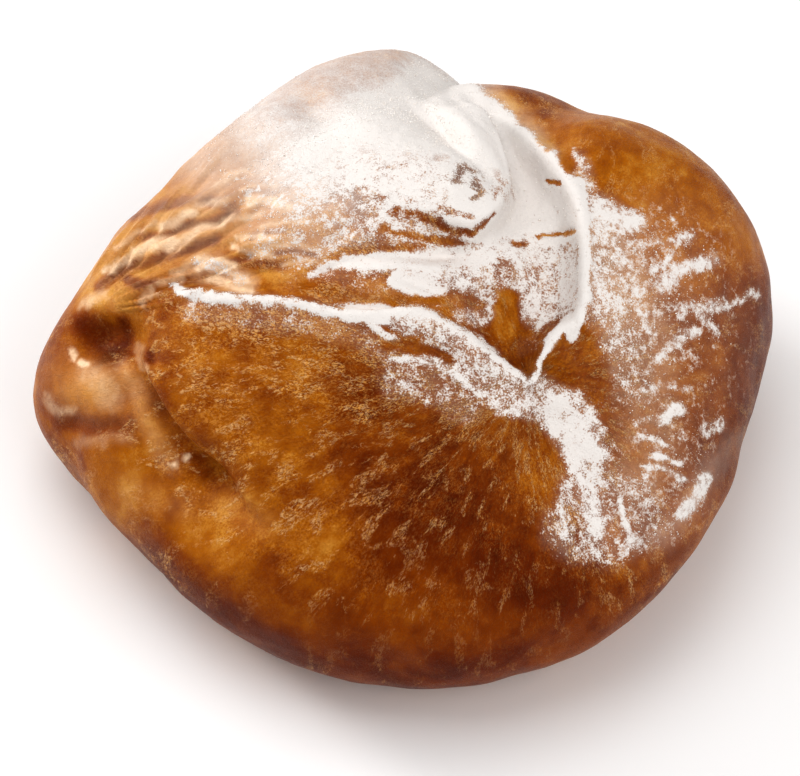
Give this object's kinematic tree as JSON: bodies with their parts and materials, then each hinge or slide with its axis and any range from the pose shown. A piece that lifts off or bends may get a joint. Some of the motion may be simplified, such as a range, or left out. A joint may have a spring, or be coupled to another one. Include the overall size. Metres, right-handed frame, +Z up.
{
  "type": "folded sweet bun",
  "caption": "Hand-sized baked bun: a round of sweet dough folded over on itself, with a pinched lip, a tucked flap and icing sugar on top, standing on its flat underside.",
  "frame": {"origin": "middle of the part's box, at the level of the flat underside", "axes": "+Z up, +X to the right and -Y towards the viewer, as the picture shows the bun; the pointed end of the fold lies at -X"},
  "size_m": [0.1148, 0.1112, 0.063],
  "materials": {
    "crust": "golden brown baked dough with a finely wrinkled satin skin, dusted with white icing sugar along the folds and over the flap",
    "sugar": "matt white icing sugar, thick along the folds and scattered as fine grains round them"
  },
  "bodies": {
    "root": {"pastry": "crust"}
  },
  "joints": []
}
